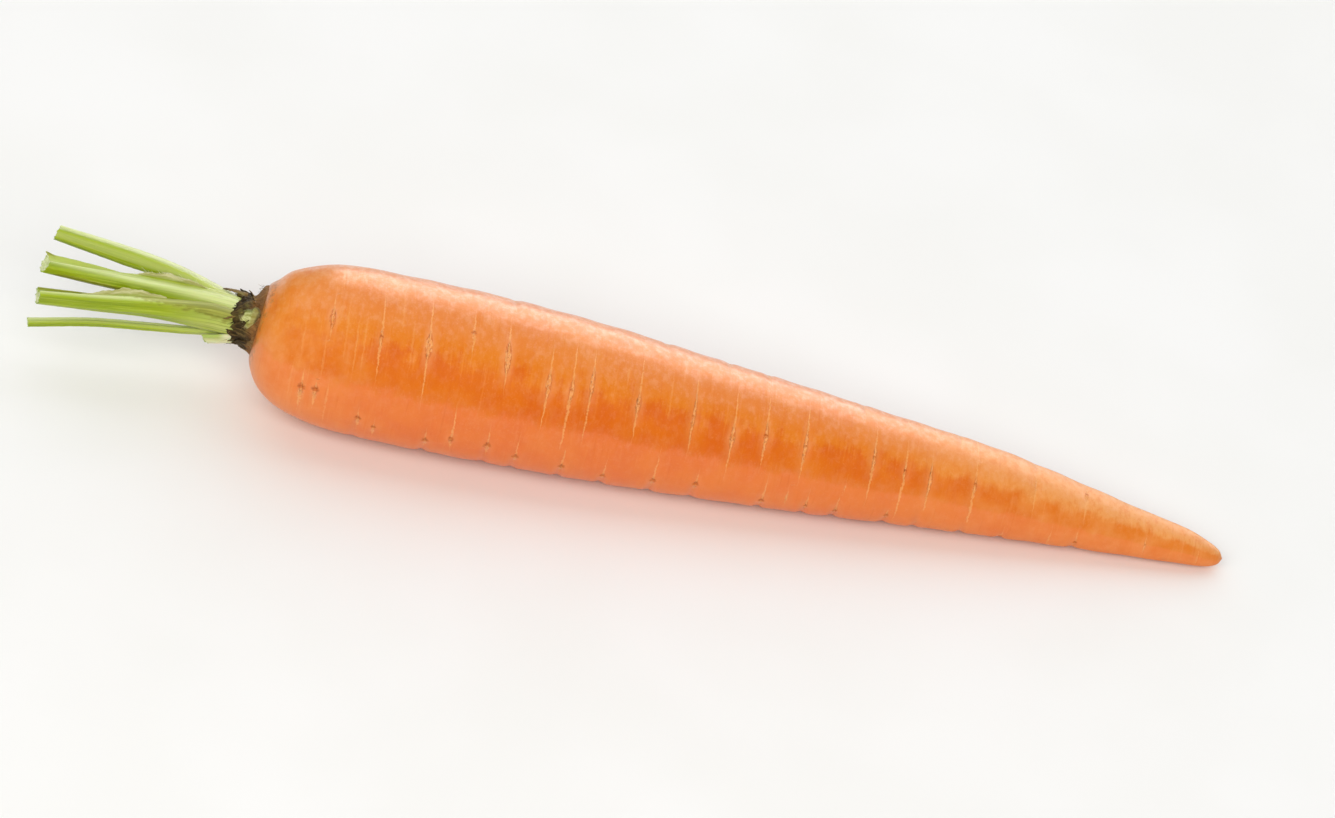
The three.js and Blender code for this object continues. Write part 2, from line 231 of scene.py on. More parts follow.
ORIGIN = np.array([73.7, 0.2, 0.0])  # of the part, measured from the head of the root
ROOT_LENGTH, SHOULDER_LENGTH = 190.0, 20.0
HEAD_RADIUS, SHOULDER_RADIUS = 6.4, 15.8
DISH_RADIUS, DISH_DEPTH = 5.8, 0.9  # of the shallow dish that the crown sits in
FLAT_DEPTH, BELLY_PLACE = 0.32, 30.0  # how far the belly is pressed flat, and from where

# Lines down the root, as (place from the head, value).
RADII = ((20, 15.8), (30, 15.9), (48, 15.6), (67, 14.75), (86, 13.35), (105, 11.9), (124, 10.15),
         (143, 8.4), (162, 6.0), (173, 4.55), (182, 3.45), (187, 2.35), (189.2, 1.3), (190, 0))
UNDERSIDE = ((30, -0.32), (104, -0.32), (125, 0.1), (150, 0.5), (182, 0.5), (187, 0.6),
             (189.2, 1.3), (190, 2.5))
HEAD_LIFT = ((0, 2.1), (2.5, 1.3), (6, 0.8), (14, 0.5), (30, 0))
WANDER = ((0, 2.3), (2.5, 1.2), (6, 0.7), (14, 0.6), (28, 0.3), (67, -0.6), (105, -0.3),
          (134, 0.25), (163, 0.4), (190, 0.3))

# Scars of side roots: place, turn round the root, half width and half length of the corky slit, how
# far its thread runs up and down, the radius of its nub, and how strongly all of it shows.
FRONT_SCARS = (
    (13.0, 59.5, 0.46, 1.8, 4.2, 3.7, 0.0, 1.0), (22.5, 52, 0.20, 1.6, 8.6, 7.0, 0.34, 0.9),
    (31.5, 53.5, 0.55, 2.6, 9.2, 10.3, 0.0, 1.0), (39.5, 68.5, 0.14, 0.9, 4.7, 3.6, 0.48, 0.9),
    (46.4, 57.5, 0.50, 3.2, 7.1, 5.5, 0.0, 1.0), (54.7, 44, 0.40, 2.6, 7.5, 8.0, 0.0, 0.9),
    (62.8, 52.5, 0.34, 3.0, 6.4, 10.7, 0.0, 0.95), (72.0, 45.5, 0.34, 2.4, 9.6, 6.2, 0.22, 0.9),
    (82.8, 46.5, 0.22, 5.0, 7.9, 6.5, 0.26, 0.85), (90.7, 37, 0.42, 2.2, 9.2, 7.0, 0.0, 0.9),
    (97.0, 44, 0.28, 2.6, 7.9, 5.5, 0.42, 0.9), (104.8, 43.5, 0.26, 3.4, 8.2, 6.5, 0.24, 0.9),
    (118.3, 48, 0.26, 2.4, 6.1, 8.5, 0.30, 0.9), (124.6, 41, 0.18, 1.6, 4.5, 11.5, 0.28, 0.95),
    (129.7, 37, 0.26, 3.2, 4.2, 10.5, 0.0, 0.95), (138.5, 44, 0.20, 1.6, 4.8, 12.0, 0.26, 0.9),
    (150.5, 66.5, 0.12, 1.4, 4.3, 5.1, 0.0, 0.75), (160.9, 84.5, 0.18, 1.0, 4.5, 5.4, 0.32, 0.8),
)
LOW_SCARS = (
    (9.8, 1.5, 0.22, 1.6, 3.7, 5.1, 0.70, 0.95), (21.0, -12, 0.20, 1.0, 1.8, 2.9, 0.57, 0.9),
    (34.2, -22, 0.20, 1.0, 3.0, 2.8, 0.62, 0.9), (45.8, -13.5, 0.22, 1.2, 4.2, 3.2, 0.65, 0.9),
    (51.4, -20.5, 0.20, 1.0, 5.0, 2.0, 0.62, 0.9), (60.3, -22, 0.20, 1.0, 5.7, 2.0, 0.62, 0.9),
    (68.4, -25.5, 0.20, 1.0, 5.0, 1.6, 0.57, 0.9), (77.8, -20, 0.20, 1.2, 7.0, 2.2, 0.59, 0.9),
    (85.9, -15.5, 0.22, 1.4, 3.3, 2.4, 0.59, 0.9), (99.0, -24.5, 0.26, 1.6, 6.7, 2.4, 0.54, 0.9),
    (107.5, -22.5, 0.22, 1.6, 3.7, 1.6, 0.41, 0.9), (113.3, -25, 0.26, 1.6, 4.9, 1.6, 0.41, 0.9),
    (123.2, -21, 0.20, 1.2, 2.0, 1.5, 0.46, 0.9), (129.2, -20.5, 0.24, 1.4, 3.0, 2.0, 0.35, 0.9),
    (138.2, -32.5, 0.18, 1.2, 3.2, 2.0, 0.41, 0.8), (146.0, -37, 0.16, 1.0, 3.0, 1.5, 0.35, 0.8),
    (160.3, -20.5, 0.16, 1.2, 3.5, 2.0, 0.38, 0.8),
)
TOP_SCARS = (
    (46.8, 119.5, 0.06, 1.0, 4.0, 4.0, 0.0, 0.5), (76.6, 128, 0.10, 1.0, 5.0, 4.0, 0.18, 0.7),
    (89.0, 127.5, 0.20, 1.6, 5.0, 5.0, 0.0, 0.8), (96.8, 126, 0.12, 1.2, 6.0, 5.0, 0.24, 0.7),
    (115.8, 115.5, 0.10, 1.2, 4.0, 4.0, 0.0, 0.6), (135.2, 110, 0.08, 1.0, 4.0, 3.0, 0.0, 0.5),
    (150.8, 108.5, 0.10, 1.0, 4.0, 3.0, 0.18, 0.6),
)
SMALL_SCARS = (  # slits, nubs and faint threads too small to crease the root
    (12.3, 4, 0.22, 1.5, 2.0, 3.6, 0.62, 0.95), (24.2, -17, 0.18, 1.0, 1.5, 2.9, 0.44, 0.9),
    (38.9, -12, 0.22, 1.2, 6.8, 3.0, 0.44, 0.9), (59.1, 44, 0.36, 2.2, 9.0, 12.0, 0.28, 0.9),
    (103.4, -13.5, 0.14, 1.4, 2.4, 1.6, 0.0, 0.8), (155.1, -20.5, 0.10, 1.2, 2.7, 3.0, 0.0, 0.7),
    (173.8, 15.5, 0.14, 1.2, 1.6, 1.6, 0.20, 0.8), (184.6, 11.5, 0.06, 1.0, 1.6, 1.4, 0.0, 0.5),
    (18.1, 47.5, 0.05, 1.0, 4.0, 6.1, 0.0, 0.45), (19.6, 44, 0.04, 1.0, 6.0, 5.0, 0.0, 0.3),
    (14.6, -3, 0.05, 1.0, 4.4, 6.4, 0.0, 0.5), (12.7, 26, 0.04, 1.0, 3.8, 2.6, 0.0, 0.35),
    (8.3, 43.5, 0.04, 1.0, 3.0, 3.2, 0.0, 0.35), (16.0, 52.5, 0.04, 1.0, 7.2, 5.8, 0.0, 0.3),
    (28.4, 53, 0.04, 1.0, 4.0, 5.0, 0.0, 0.35), (173.0, 77, 0.05, 1.0, 3.2, 2.0, 0.0, 0.4),
    (113.9, 12, 0.08, 0.5, 0.6, 0.6, 0.0, 0.7), (69.4, 66, 0.05, 0.8, 2.0, 2.0, 0.0, 0.4),
    (14.1, 100, 0.04, 1.0, 5.0, 4.2, 0.0, 0.35), (7.6, 8, 0.04, 1.0, 3.5, 4.8, 0.0, 0.35),
    (26.0, 76, 0.04, 1.0, 4.0, 4.0, 0.0, 0.3), (78.0, 60, 0.04, 1.0, 4.0, 5.0, 0.0, 0.3),
)
FAR_FRONT_TURN, FAR_LOW_TURN = 126, -118
# The crease over a front, low or top scar: depth, how far down from the scar it lies, half its span.
CREASES = ((0.2, 0, 34), (0.5, 15, 46), (0.26, 0, 34))
CREASE_WIDTH = 0.85
RING_HEIGHT, RING_PITCH = 0.06, 9.6  # of the low rings all along the root
# The shoulder falls away to the head, and the head leans back, on the upper far side.
FALL_DEPTH, FALL_PLACE, FALL_WIDTH = 1.1, 1.2, 1.7
HEAD_LEAN, UPPER_FAR_TURN = 0.1, 130.0
LIP_HEIGHT, LIP_WIDTH, SLIT_DEPTH, SLIT_WIDTH, NUB_HEIGHT = 0.14, 0.28, 0.1, 0.2, 0.3
SCAR_REACH, SCAR_GAP = 1.9, 0.6  # past the reach a point is on no scar, nor midway between two
ROOT_SIDES, ROOT_RINGS, SCAR_CROWDING = 126, 760, 1.3  # the rings crowd together by this at scars


def along(pairs, at):
    """A smooth line through (place, value) pairs, read at every place in an array."""
    places, values = np.array(pairs, float).T
    ends = np.r_[0, np.arange(len(places)), len(places) - 1]
    slopes = (values[ends[2:]] - values[ends[:-2]]) / (places[ends[2:]] - places[ends[:-2]])
    at = np.clip(at, places[0], places[-1])
    i = np.clip(np.searchsorted(places, at, side="right") - 1, 0, len(places) - 2)
    step = places[i + 1] - places[i]
    t = (at - places[i]) / step
    rise = (1 + 2 * t) * (1 - t) ** 2 * values[i] + t * t * (3 - 2 * t) * values[i + 1]
    return rise + step * (t * (1 - t) ** 2 * slopes[i] - t * t * (1 - t) * slopes[i + 1])


def root_radius(place):
    back = 1 - np.clip(place / SHOULDER_LENGTH, 0, 1)
    shoulder = HEAD_RADIUS + (SHOULDER_RADIUS - HEAD_RADIUS) * np.sqrt(1 - back * back)
    return np.where(place < SHOULDER_LENGTH, shoulder, along(RADII, place))


def root_height(place):
    lifted = root_radius(np.float64(BELLY_PLACE)) - FLAT_DEPTH + along(HEAD_LIFT, place)
    return np.where(place < BELLY_PLACE, lifted, root_radius(place) + along(UNDERSIDE, place))


def all_scars():
    """The creases as (place, turn, depth, span), and every scar: the seen rows and their like behind."""
    front, low, top, small = (np.array(rows, float) for rows in (
        FRONT_SCARS, LOW_SCARS, TOP_SCARS, SMALL_SCARS))
    far_front, far_low, far_small = front.copy(), low.copy(), small.copy()
    far_front[:, 1] += FAR_FRONT_TURN + 9 * np.sin(2.4 * np.arange(len(front)))
    far_low[:, 1] += FAR_LOW_TURN + 8 * np.sin(1.7 * np.arange(len(low)))
    far_small[:, 1] += 180
    rows = (front, low, top, far_front, far_low)
    depth, down, span = np.repeat(np.array(CREASES)[[0, 1, 2, 0, 1]], [len(r) for r in rows], 0).T
    place, turn = np.vstack(rows)[:, :2].T
    creases = np.c_[place, turn - down, depth, span]
    return creases, np.vstack((*rows, small, far_small))


creases, scars = all_scars()


def turn_from(turn, other):
    """The turn from other to turn, between -180 and 180 degrees."""
    return (turn - other + 540) % 360 - 180


def root_relief(place, turn):
    """Height of the skin over the plain root, before the fine detail of the scars."""
    fade = np.clip(place / 30, 0, 1) * np.clip((ROOT_LENGTH - place) / 25, 0, 1)
    ring = 2 * np.pi * place / RING_PITCH + 0.6 * np.sin(np.radians(turn))
    fall = np.exp(-((place - FALL_PLACE) / FALL_WIDTH) ** 2)
    relief = RING_HEIGHT * fade * np.sin(ring)
    relief -= FALL_DEPTH * fall * np.maximum(np.cos(np.radians(turn - UPPER_FAR_TURN)), 0)
    for crease_place, crease_turn, depth, span in creases:
        across = (place - crease_place) / CREASE_WIDTH
        round_ = np.minimum(np.abs(turn_from(turn, crease_turn)) / span, 1)
        here = np.exp(-across ** 2) * np.cos(round_ * np.pi / 2) ** 2
        relief -= depth * (1 + fade) / 2 * here
    return relief


def root_lengthwise():
    """Radius and place of each ring of the root, from the middle of its head to its tip."""
    skin = np.r_[SHOULDER_LENGTH * np.linspace(0, 1, 300) ** 2,
                 np.linspace(SHOULDER_LENGTH, ROOT_LENGTH - 2, 3000)[1:],
                 ROOT_LENGTH - 2 * np.linspace(1, 0, 200)[1:] ** 2]
    dish = np.linspace(0, DISH_RADIUS, 40)
    radius, place = np.r_[dish, root_radius(skin)], np.r_[dish * 0 + DISH_DEPTH, skin]
    middle = (place[1:] + place[:-1]) / 2
    near = np.exp(-(middle[:, None] - scars[None, :, 0]) ** 2).max(1)
    cost = np.hypot(np.diff(radius), np.diff(place)) * (1 + SCAR_CROWDING * near)
    spent = np.r_[0, np.cumsum(cost)]
    stations = np.linspace(0, spent[-1], ROOT_RINGS + 1)
    return np.interp(stations, spent, radius), np.interp(stations, spent, place)


def in_scar(place, turn, radius, scar_place, scar_turn):
    """How far a point is from a scar, in mm along and round the root. Scars near the head lean."""
    v = np.radians(turn_from(turn, scar_turn)) * radius
    return place - scar_place + np.where(scar_place < 50, 0.03 * v, 0), v


def scar_detail(place, turn, radius):
    """Each point's place in its nearest scar, how strongly that scar shows there, and its sizes."""
    nearest = np.zeros(place.shape, int)
    best, second = np.full(place.shape, 1e6), np.full(place.shape, 1e6)
    for k, (scar_place, scar_turn, _, _, up, down, _, _) in enumerate(scars):
        u, v = in_scar(place, turn, radius, scar_place, scar_turn)
        away = np.abs(u) + np.maximum(np.maximum(v - up, -v - down), 0)
        second = np.minimum(second, np.maximum(best, away))
        nearest = np.where(away < best, k, nearest)
        best = np.minimum(best, away)
    chosen = scars[nearest]
    u, v = in_scar(place, turn, radius, chosen[:, 0], chosen[:, 1])
    here = chosen[:, 7] * (best < SCAR_REACH) * np.clip((second - best - SCAR_GAP) * 2.5, 0, 1)
    return np.c_[u, v, here, chosen[:, 2:7]]


def points_of(shape):
    return np.array([v.co[:] for v in shape.verts])


def ringed_ball(sides, rings):
    """A ball to reshape, with the ring that each point is on and its angle round the ball."""
    shape = bmesh.new()
    bmesh.ops.create_uvsphere(shape, u_segments=sides, v_segments=rings, radius=1)
    # The operator's own order of faces differs from run to run, so they are sorted.
    shape.verts.index_update()
    shape.faces.sort(key=lambda face: sum(vertex.index ** 2 for vertex in face.verts))
    ball = points_of(shape)
    ring = np.rint(np.arccos(np.clip(ball[:, 2], -1, 1)) / np.pi * rings).astype(int)
    return shape, ring, np.arctan2(ball[:, 1], ball[:, 0])


def move_points(shape, points):
    for vertex, point in zip(shape.verts, points.tolist()):
        vertex.co = point


def finished(name, shape, materials, attributes=()):
    """An object from a shape in millimetres in the part's own frame, riding on the carrot."""
    bmesh.ops.recalc_face_normals(shape, faces=shape.faces)
    bmesh.ops.scale(shape, vec=(MM, MM, MM), verts=shape.verts)
    mesh = bpy.data.meshes.new(name)
    shape.to_mesh(mesh)
    shape.free()
    mesh.shade_smooth()
    for material in materials:
        mesh.materials.append(material)
    for key, values in dict(attributes).items():
        layer = mesh.attributes.new(key, "FLOAT_VECTOR", "POINT")
        layer.data.foreach_set("vector", np.ascontiguousarray(values, "f").ravel())
    made = bpy.data.objects.new(name, mesh)
    scene.collection.objects.link(made)
    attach(made, "root")
    return made


def root_skin():
    skin = Finish("root_skin", Specular_IOR_Level=0.45, Coat_Roughness=0.28, Subsurface_Weight=0.10,
                  Subsurface_Radius=(1.0, 0.4, 0.1), Subsurface_Scale=1.5 * MM)
    skin.shader.subsurface_method = "RANDOM_WALK"
    x, y, z = skin.place.axes()
    up, down, upward = skin.attribute("scar_run").axes()
    broad = skin.place.cloud(0.055, 2.0)
    blotch = skin.place.cloud(0.2, 5.0, 0.6)
    fleck = skin.place.cloud(2.6, 3.0, 0.6)
    mottle = skin.place.stretched(1.0, 0.7, 0.7).cloud(0.75, 4.0, 0.65)
    lines = skin.place.stretched(2.2, 0.10, 0.10).cloud(1.0, 4.0, 0.65)
    faint = skin.place.stretched(0.5, 0.06, 0.06).cloud(1.0, 2.0)

    # Saturated orange on the sides and paler to both ends, with a painted sheen laid paler over the upper
    # side and painted salmon bounce light from the floor along the underside.
    deep, peach = "#dd6400", "#ee9448"
    tip = x.between(35, 100)
    ends = (x.between(-40, -73) * 0.7 + x.between(-60, -75) * 0.4).most(tip)
    skin.base = blotch.between(0.35, 0.68).paint(deep, "#e26f00")
    skin.lay((broad.between(0.45, 0.70) * 0.5 + ends * 0.6).least(1.0), "#e8831a")
    skin.lay(ends * blotch.between(0.30, 0.65) * 0.8, peach)
    ragged = (blotch - 0.5) * 0.60 + (lines - 0.5) * 0.30
    # Painted sheen: the upper side is laid paler orange, as light from above and behind brightens it.
    painted_top_sheen = (upward + ragged).between(0.64, 0.84) * (0.5 + 0.35 * tip)
    skin.lay(painted_top_sheen, tip.paint("#ec8e24", "#f2a45a"))
    # Painted bounce light: the underside is laid salmon, as the pale floor below lights it.
    skin.lay((upward + ragged * 0.6).between(0.33, 0.22) * 0.4, "#f48342")
    streak = lines.between(0.52, 0.70) * faint.between(0.40, 0.58)
    skin.lay(streak * (0.25 + 0.3 * painted_top_sheen + 0.3 * ends), peach)
    skin.lay(lines.between(0.42, 0.30) * 0.35, deep)
    skin.lay(fleck.between(0.56, 0.72) * (0.16 + 0.2 * painted_top_sheen), "#f6ac6c")
    skin.lay(mottle.between(0.50, 0.66) * (0.06 + 0.20 * painted_top_sheen), "#f6b078")
    skin.lay(mottle.between(0.50, 0.36) * (0.08 + 0.30 * painted_top_sheen), "#e47408")

    # The scars: a pale corky slit in a darker edge and a soft halo, a thread that runs on from it up
    # and down, fine cracks, and a brown nub with a lid above it.
    u, v, here = skin.attribute("scar").axes()
    bulge, reach, nub = skin.attribute("scar_size").axes()
    wave = skin.place.cloud(0.8, 3.0, 0.6)
    tear = skin.place.cloud(2.1, 3.0, 0.6)
    rag = tear.between(0.32, 0.62)
    inside = here.between(0.02, 0.2)
    off = abs(u + (wave - 0.5) * 0.6)
    bits = skin.place.stretched(1.1, 0.7, 0.7).cloud(1.0, 3.0, 0.6).between(0.38, 0.58)
    slit = bulge * (1 - (v / reach) ** 2).most(0.0) * (0.4 + 0.9 * bits)
    slit = (slit - off).between(-0.03, 0.07) * here
    edge = (bulge + 0.17) * (1 - (v / (reach + 0.7)) ** 2).most(0.0) * (0.7 + 0.6 * wave)
    edge = (edge - off).between(-0.02, 0.08) * here * bulge.between(0.08, 0.2)
    run = (1 - (v / up).most(0.0) - ((0 - v) / down).most(0.0)).most(0.0)
    thread = (0.16 + 0.2 * nub * v.between(0.3, -0.6)) * run ** 0.5 * (0.2 + 1.5 * rag)
    thread = (thread - off).between(-0.08, 0.05) * here
    beside = ((u + (wave - 0.5) * 0.5) ** 2 + (v + (tear - 0.5) * 0.9) ** 2 * 0.55) ** 0.5
    away = beside / nub.most(0.02)
    lid = (v + 0.7 * (tear - 0.5)).between(-0.15, 0.35)
    scab = away.between(1.6, 0.8) * inside * lid.most(wave.between(0.5, 0.7) * 0.8)
    core = away.between(0.7, 0.3) * inside * tear.between(0.65, 0.4)
    halo = (1 - off / 1.7).most(0.0) * (1 - (abs(v) / (reach * 1.6 + 1.2))).most(0.0) * here
    skin.lay((halo * bulge * 2.2).least(0.8), "#f09a5c")
    skin.lay(edge * (0.2 + 0.5 * rag), "#cf5f06")
    skin.lay(thread * 0.6, "#f8b26a")
    skin.lay(slit * 0.9, rag.paint("#f09a4c", "#fab474"))
    crack = (0.05 + 0.10 * tear - abs(off - 0.12)).between(-0.02, 0.04) * here
    crack = crack * bulge.between(0.1, 0.2) * (abs(v) / reach).between(1.0, 0.6) * tear.between(0.54, 0.62)
    skin.lay(crack * 0.7, "#c45a04")
    skin.lay(scab * 0.9, rag.paint("#b44c00", "#d4680e"))
    skin.lay(core * 0.7, rag.paint("#d87428", "#f0a058"))

    # The head is stained and flakes around the collar.
    rim = ((y - 2.1) ** 2 + (z - 17.7) ** 2) ** 0.5 - x.between(-70.0, -72.0) * 0.3
    husk = 6.7 + tear.between(0.32, 0.68) * 1.2 + wave.between(0.35, 0.65) * 1.6
    near_head = x.between(-70.5, -72.0)
    skin.lay(rim.between(12.0, 8.0) * near_head * wave * 0.4, "#c86a26")
    skinned = (rim - husk).between(0.25, -0.1) * near_head
    skin.lay(skinned * 0.6, tear.between(0.4, 0.6).paint("#9a5218", "#cc8844"))
    skin.feed("Roughness", 0.28 + 0.10 * blotch + 0.25 * tip + 0.15 * slit.most(scab))
    waxy = mottle.between(0.34, 0.68) * upward.between(-0.2, 0.6) * (0.6 - 0.4 * tip)
    skin.feed("Coat Weight", waxy * (1 - slit.most(thread)))
    skin.bump(lines * 0.04 + fleck * 0.012 + blotch * 0.05 + mottle * 0.04 + slit * tear * 0.12
              - edge * 0.05 + thread * 0.03 + scab * tear * 0.08)
    return skin.material


def make_root():
    shape, ring, angle = ringed_ball(ROOT_SIDES, ROOT_RINGS)
    radii, places = root_lengthwise()
    plain, place = radii[ring], places[ring]
    turn = np.degrees(angle)
    in_dish = (place <= DISH_DEPTH) & (plain <= (DISH_RADIUS + HEAD_RADIUS) / 2)
    u, v, here, bulge, reach, up, down, nub = scar_detail(place, turn, plain).T
    slit = np.maximum(bulge * (1 - (v / reach) ** 2), 0) + 1e-3
    lips = np.exp(-((np.abs(u) - slit) / LIP_WIDTH) ** 2) * (slit > 0.05)
    groove = np.exp(-(u / SLIT_WIDTH) ** 2) * (np.abs(v) < reach)
    lump = np.exp(-(u * u + 0.6 * v * v) / np.maximum(nub * nub * 1.4, 1e-3)) * (nub > 0)
    fine = LIP_HEIGHT * lips * np.minimum(bulge * 2.5, 1) - SLIT_DEPTH * groove + NUB_HEIGHT * lump
    radius = plain + np.where(in_dish, 0, root_relief(place, turn) + here * fine)
    lean = HEAD_LEAN * radius * np.cos(angle - math.radians(UPPER_FAR_TURN))
    lean *= np.clip(1 - place / SHOULDER_LENGTH, 0, 1) ** 2
    height = np.maximum(root_height(place) + radius * np.sin(angle), 0)
    points = np.c_[place + lean, along(WANDER, place) - radius * np.cos(angle), height]
    move_points(shape, points - ORIGIN)
    made = finished("carrot_root", shape, [root_skin()], {
        "scar": np.c_[u, v, here], "scar_size": np.c_[bulge, reach, nub],
        "scar_run": np.c_[up, down, np.sin(angle)]})
    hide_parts("root")


make_root()


# --- Leaf stalks ----------------------------------------
# Five petioles cut off short: juicy ribbed green stalks, rounded outside and channelled inside, that
# widen at the foot into pale sheaths wrapped round each other in the crown.

HEAD_TILT = 4.2
head_frame = (Matrix.Translation((0, WANDER[0][1], float(root_height(np.float64(0)))))
              @ Matrix.Rotation(math.pi, 4, "Z") @ Matrix.Rotation(math.radians(-HEAD_TILT), 4, "Y"))

# Laid out in the head's own frame, with +X running out along the stalks. line is the middle, and the
# other rows are (out, value): facing is the turn that the rounded back looks to, opening the turn
# from the back to the channel, olive_patch_and_shade the turn past which the skin is painted
# olive-brown, which on stalk_3 is painted shade in the hollow under stalk_2. bend wraps the sheath,
# channel is a depth, slant leans the cut end, fibre_and_highlight_ridge is a pale stripe of fibre and
# painted highlight along the stalk's upper side as (turn, half width), and ear a raised corner of the
# cut as (turn, half width, length).
STALKS = {
    "stalk_3": dict(
        line=((0.6, 3.5, 0.7), (5.2, 3.8, 0.7), (10, 3.8, 0.8), (20.8, 4.4, 0.6), (31.5, 5.4, -0.3),
              (41.5, 6.2, -1.2)),
        facing=((0, 8), (12, 2), (42, -22)),
        opening=((0, 180), (14, 170), (30, 134), (42, 126)),
        width=((0, 4.6), (5, 5.8), (10, 6.2), (18, 5.0), (28, 4.3), (42, 4.1)),
        thickness=((0, 1.6), (6, 1.9), (14, 2.6), (25, 3.2), (42, 3.2)),
        olive_patch_and_shade=((5, 10), (12, 22), (18, 44), (24, 74), (30, 110)),
        bend=0.1, channel=1.1, slant=-0.1, fibre_and_highlight_ridge=(76, 18)),
    "stalk_2": dict(
        line=((0.6, 1.4, 2.4), (5.2, 1.2, 3.0), (10, 1.3, 3.3), (20, 1.7, 3.3), (31, 1.8, 3.2),
              (41.4, 1.8, 3.15)),
        facing=((0, 78), (12, 66), (42, 14)),
        opening=((0, 180), (14, 150), (24, 104), (32, 78), (42, 70)),
        width=((0, 4.0), (5, 4.6), (12, 4.6), (24, 4.0), (42, 3.9)),
        thickness=((0, 1.6), (6, 2.2), (14, 2.8), (25, 3.0), (42, 3.0)),
        olive_patch_and_shade=((36, 175), (39.6, 150), (40.6, 96), (44, 88)),
        bend=0.09, channel=1.2, slant=-0.3, fibre_and_highlight_ridge=(66, 24), ear=(116, 19, 1.0)),
    "stalk_1": dict(
        line=((0.6, -1.5, 1.0), (5, -1.9, 1.6), (10, -2.7, 2.3), (17, -3.8, 3.1), (28, -5.0, 3.7),
              (40.3, -6.2, 4.3)),
        facing=((0, 138), (12, 134), (42, 120)), opening=((0, 180), (42, 148)),
        width=((0, 5.0), (5, 5.6), (12, 5.2), (22, 4.2), (42, 3.1)),
        thickness=((0, 1.7), (6, 2.2), (14, 3.2), (24, 3.8), (33, 3.4), (42, 2.8)),
        bend=0.1, channel=0.7, slant=-0.1, fibre_and_highlight_ridge=(118, 32)),
    "stalk_4": dict(
        line=((0.6, 1.2, -2.6), (4.5, 1.4, -3.1), (11, 2.2, -4.1), (20, 2.9, -5.3), (30, 3.5, -6.8),
              (41.9, 5.1, -9.1)),
        facing=((0, -60), (12, -50), (42, -38)), opening=((0, 180), (20, 140), (42, 124)),
        width=((0, 2.6), (6, 2.8), (14, 2.1), (42, 1.9)),
        thickness=((0, 1.3), (8, 1.5), (42, 1.7)),
        bend=0.06, channel=0.4, slant=0.0, fibre_and_highlight_ridge=(112, 34)),
    "stalk_5": dict(
        line=((0.6, -2.7, -2.0), (4.7, -3.0, -2.4), (9.0, -3.3, -2.3), (15.0, -3.6, -1.7),
              (24.0, -3.6, -1.6), (33.0, -3.7, -1.9), (40.6, -4.1, -2.2)),
        facing=((0, 222), (42, 215)), opening=((0, 180), (42, 180)),
        width=((0, 5.6), (6, 6.2), (14, 4.4), (26, 3.0), (42, 2.7)),
        thickness=((0, 1.7), (6, 2.0), (18, 2.6), (42, 2.5)),
        bend=0.1, channel=0.7, slant=0.2),
    "sheath_stub": dict(
        line=((0.9, 2.8, -2.9), (4.0, 3.4, -3.4), (6.8, 3.8, -3.95), (8.9, 4.15, -4.2)),
        facing=((0, -36), (4, -34), (10, -26)), opening=((0, 180), (10, 180)),
        width=((0, 4.2), (4, 4.6), (7, 4.4), (10, 3.4)),
        thickness=((0, 0.9), (10, 0.75)),
        bend=0.09, channel=0.0, slant=0.5),
}
RIBS, RIB_HEIGHT = 6, 0.08
CHANNEL_WIDTH, SHEATH_END = 0.45, 26.0
SKIN_WEAR, CUT_RAGGED, TORN_RAGGED = 0.04, 0.35, 0.6
STALK_SIDES, STALK_STEPS, CUT_RINGS = 84, 150, 5


def route_of(line):
    """Points and headings close together on a smooth curve through the line's points."""
    given = np.array(line, float)
    spots = np.vstack((2 * given[0] - given[1], given, 2 * given[-1] - given[-2]))
    pieces = []
    for a, b, c, d in zip(spots, spots[1:], spots[2:], spots[3:]):
        first, step, last = (np.linalg.norm(q - p) ** 0.5 for p, q in ((a, b), (b, c), (c, d)))
        leave = ((b - a) / first - (c - a) / (first + step) + (c - b) / step) * step
        arrive = ((c - b) / step - (d - b) / (step + last) + (d - c) / last) * step
        t = np.linspace(0, 1, 80)[:, None]
        pieces.append(b + leave * t + (3 * (c - b) - 2 * leave - arrive) * t ** 2
                      + (2 * (b - c) + leave + arrive) * t ** 3)
    path = np.vstack(pieces)
    keep = np.r_[True, np.linalg.norm(np.diff(path, axis=0), axis=1) > 1e-9]
    path = path[keep]
    run = np.r_[0, np.cumsum(np.linalg.norm(np.diff(path, axis=0), axis=1))]
    heading = np.gradient(path, run, axis=0)
    return run / run[-1], path, heading / np.linalg.norm(heading, axis=1)[:, None]


